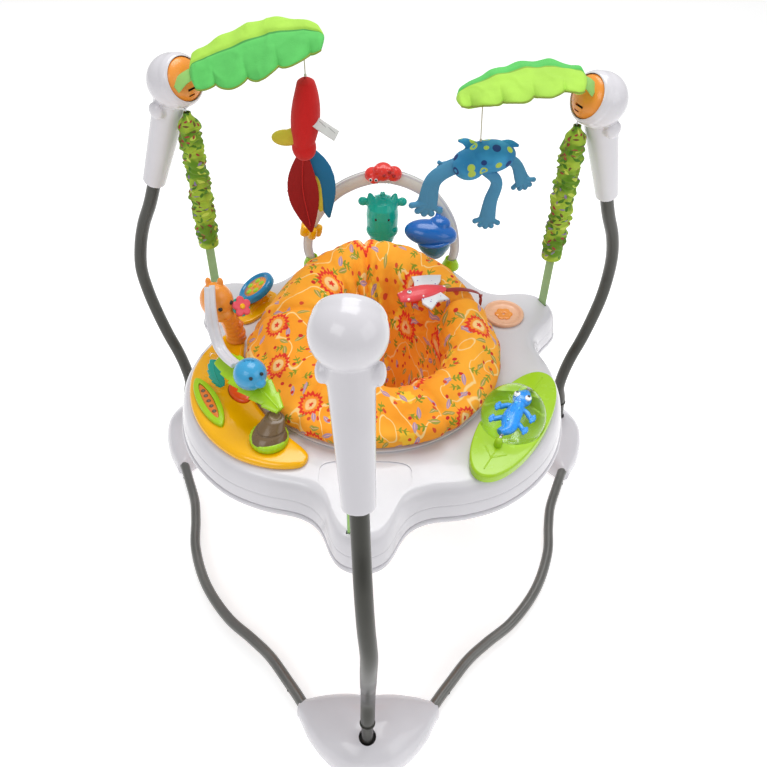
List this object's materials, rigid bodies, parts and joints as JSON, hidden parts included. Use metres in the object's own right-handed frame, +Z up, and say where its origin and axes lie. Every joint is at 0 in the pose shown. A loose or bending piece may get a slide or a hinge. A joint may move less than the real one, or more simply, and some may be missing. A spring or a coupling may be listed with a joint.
{
  "type": "activity jumper",
  "caption": "Free-standing baby activity jumper: tubular post frame, spring-hung lobed toy tray and a padded swivel seat with hanging toys.",
  "frame": {"origin": "on the floor, under the middle of the box around the whole part", "axes": "+Z up; the front post stands towards -Y and the two rear posts towards +Y on either side"},
  "size_m": [0.8898, 0.868, 0.8895],
  "materials": {
    "white": "gloss",
    "post_metal": "satin",
    "base_metal": "satin",
    "spring_steel": "zinc plated",
    "orange_plastic": "gloss",
    "yellow_plastic": "gloss",
    "lime_plastic": "gloss",
    "brown_plastic": "satin",
    "teal_plastic": "gloss",
    "blue_plastic": "gloss",
    "sky_plastic": "gloss",
    "red_plastic": "gloss",
    "pink_rubber": "soft",
    "peach_plastic": "gloss",
    "clear_plastic": "clear",
    "printed_fabric": "woven",
    "green_fabric": "woven",
    "webbing": "woven",
    "mint_plush": "plush",
    "lime_plush": "plush",
    "red_plush": "plush",
    "blue_plush": "plush",
    "cord": "braided",
    "red_ribbon": "woven"
  },
  "bodies": {
    "frame": {"foot_front": "white", "foot_left": "white", "foot_right": "white", "base_tube_front_left": "base_metal", "base_tube_front_right": "base_metal", "base_tube_rear": "base_metal", "upright_front": "post_metal", "upright_left": "post_metal", "upright_right": "post_metal", "post_housing_front": "white", "post_housing_left": "white", "post_housing_right": "white", "post_face_front": "orange_plastic", "post_face_left": "orange_plastic", "post_face_right": "orange_plastic", "spring_front": "spring_steel", "spring_left": "spring_steel", "spring_right": "spring_steel", "spring_cover_front": "green_fabric", "spring_cover_left": "green_fabric", "spring_cover_right": "green_fabric", "leaf_left": "mint_plush", "leaf_right": "lime_plush"},
    "tray": {"tray_top": "white", "tray_base": "white", "strap_front": "webbing", "strap_left": "webbing", "strap_right": "webbing", "yellow_panel": "yellow_plastic", "panel_window": "lime_plastic", "stump": "brown_plastic", "long_neck_animal": "orange_plastic", "arch_left": "white", "lime_leaf": "lime_plastic", "bird_head": "sky_plastic", "roller_base": "yellow_plastic", "leaf_cradle": "lime_plastic", "arch_rear": "white", "arch_socket_left": "lime_plastic", "arch_socket_right": "lime_plastic", "bug_clip": "red_plastic", "round_dish": "peach_plastic"},
    "seat": {"seat_ring": "white", "seat_pad": "printed_fabric"},
    "teether_body": {"teether_strap": "red_ribbon", "teether": "pink_rubber"},
    "button": {"panel_button": "orange_plastic"},
    "flower": {"spinner_flower": "pink_rubber"},
    "leaf_pendant": {"teal_leaf": "teal_plastic"},
    "roller": {"roller_wheel": "blue_plastic"},
    "bubble_body": {"bubble": "clear_plastic", "bubble_axle": "spring_steel", "lizard": "sky_plastic"},
    "hippo_body": {"hippo": "teal_plastic"},
    "drop_body": {"drop_toy": "blue_plastic"},
    "bead": {"rear_flower": "yellow_plastic"},
    "parrot_line": {"parrot_cord": "cord"},
    "parrot_body": {"parrot": "red_plush"},
    "frog_line": {"frog_cord": "cord"},
    "frog_body": {"frog": "blue_plush"}
  },
  "joints": [
    {"name": "bounce", "type": "slide", "parent": "frame", "child": "tray", "axis": [0, 0, 1], "range_m": [-0.1, 0.01], "stiffness_N_per_m": 1500, "springref_m": 0.0465, "deforming": ["spring_front", "spring_left", "spring_right", "spring_cover_front", "spring_cover_left", "spring_cover_right"]},
    {"name": "seat_swivel", "type": "hinge", "parent": "tray", "child": "seat", "pos_m": [0.00025, 0.07682, 0.43], "axis": [0, 0, 1], "continuous": true},
    {"name": "teether_lift", "type": "hinge", "parent": "seat", "child": "teether_body", "pos_m": [0.17425, 0.16282, 0.48], "axis": [-0.4431, 0.8965, 0], "range_deg": [0, 25]},
    {"name": "button_press", "type": "slide", "parent": "tray", "child": "button", "axis": [0, 0, 1], "range_m": [-0.003, 0], "stiffness_N_per_m": 300, "springref_m": 0.001},
    {"name": "flower_spin", "type": "hinge", "parent": "tray", "child": "flower", "pos_m": [-0.20275, 0.07882, 0.536], "axis": [0.6217, -0.5014, 0.6017], "continuous": true},
    {"name": "leaf_pendant_swing", "type": "hinge", "parent": "tray", "child": "leaf_pendant", "pos_m": [-0.24075, 0.01582, 0.483], "axis": [0.848, -0.53, 0], "range_deg": [-20, 20]},
    {"name": "roller_spin", "type": "hinge", "parent": "tray", "child": "roller", "pos_m": [-0.20475, 0.22082, 0.4606], "axis": [-0.5101, 0, 0.8601], "continuous": true},
    {"name": "bubble_spin", "type": "hinge", "parent": "tray", "child": "bubble_body", "pos_m": [0.20825, -0.06318, 0.454], "axis": [0.4711, 0.8821, 0], "continuous": true},
    {"name": "hippo_swing", "type": "hinge", "parent": "tray", "child": "hippo_body", "pos_m": [0.01025, 0.32982, 0.586], "axis": [1, 0, 0], "range_deg": [-12, 12]},
    {"name": "drop_toy_swing", "type": "hinge", "parent": "tray", "child": "drop_body", "pos_m": [0.11025, 0.31982, 0.56], "axis": [1, 0, 0], "range_deg": [-5, 15]},
    {"name": "rear_flower_spin", "type": "hinge", "parent": "tray", "child": "bead", "pos_m": [-0.11675, 0.33182, 0.508], "axis": [0.2149, 0, 0.9766], "continuous": true},
    {"name": "parrot_cord_swing", "type": "hinge", "parent": "frame", "child": "parrot_line", "pos_m": [-0.10375, 0.25482, 0.859], "axis": [1, 0, 0], "range_deg": [-11, 11]},
    {"name": "parrot_swing", "type": "hinge", "parent": "parrot_line", "child": "parrot_body", "pos_m": [-0.10375, 0.25882, 0.816], "axis": [0, 1, 0], "range_deg": [-15, 15]},
    {"name": "frog_cord_swing", "type": "hinge", "parent": "frame", "child": "frog_line", "pos_m": [0.15025, 0.22282, 0.807], "axis": [1, 0, 0], "range_deg": [-12, 12]},
    {"name": "frog_swing", "type": "hinge", "parent": "frog_line", "child": "frog_body", "pos_m": [0.15425, 0.22682, 0.737], "axis": [0, 1, 0], "range_deg": [-15, 15]}
  ]
}
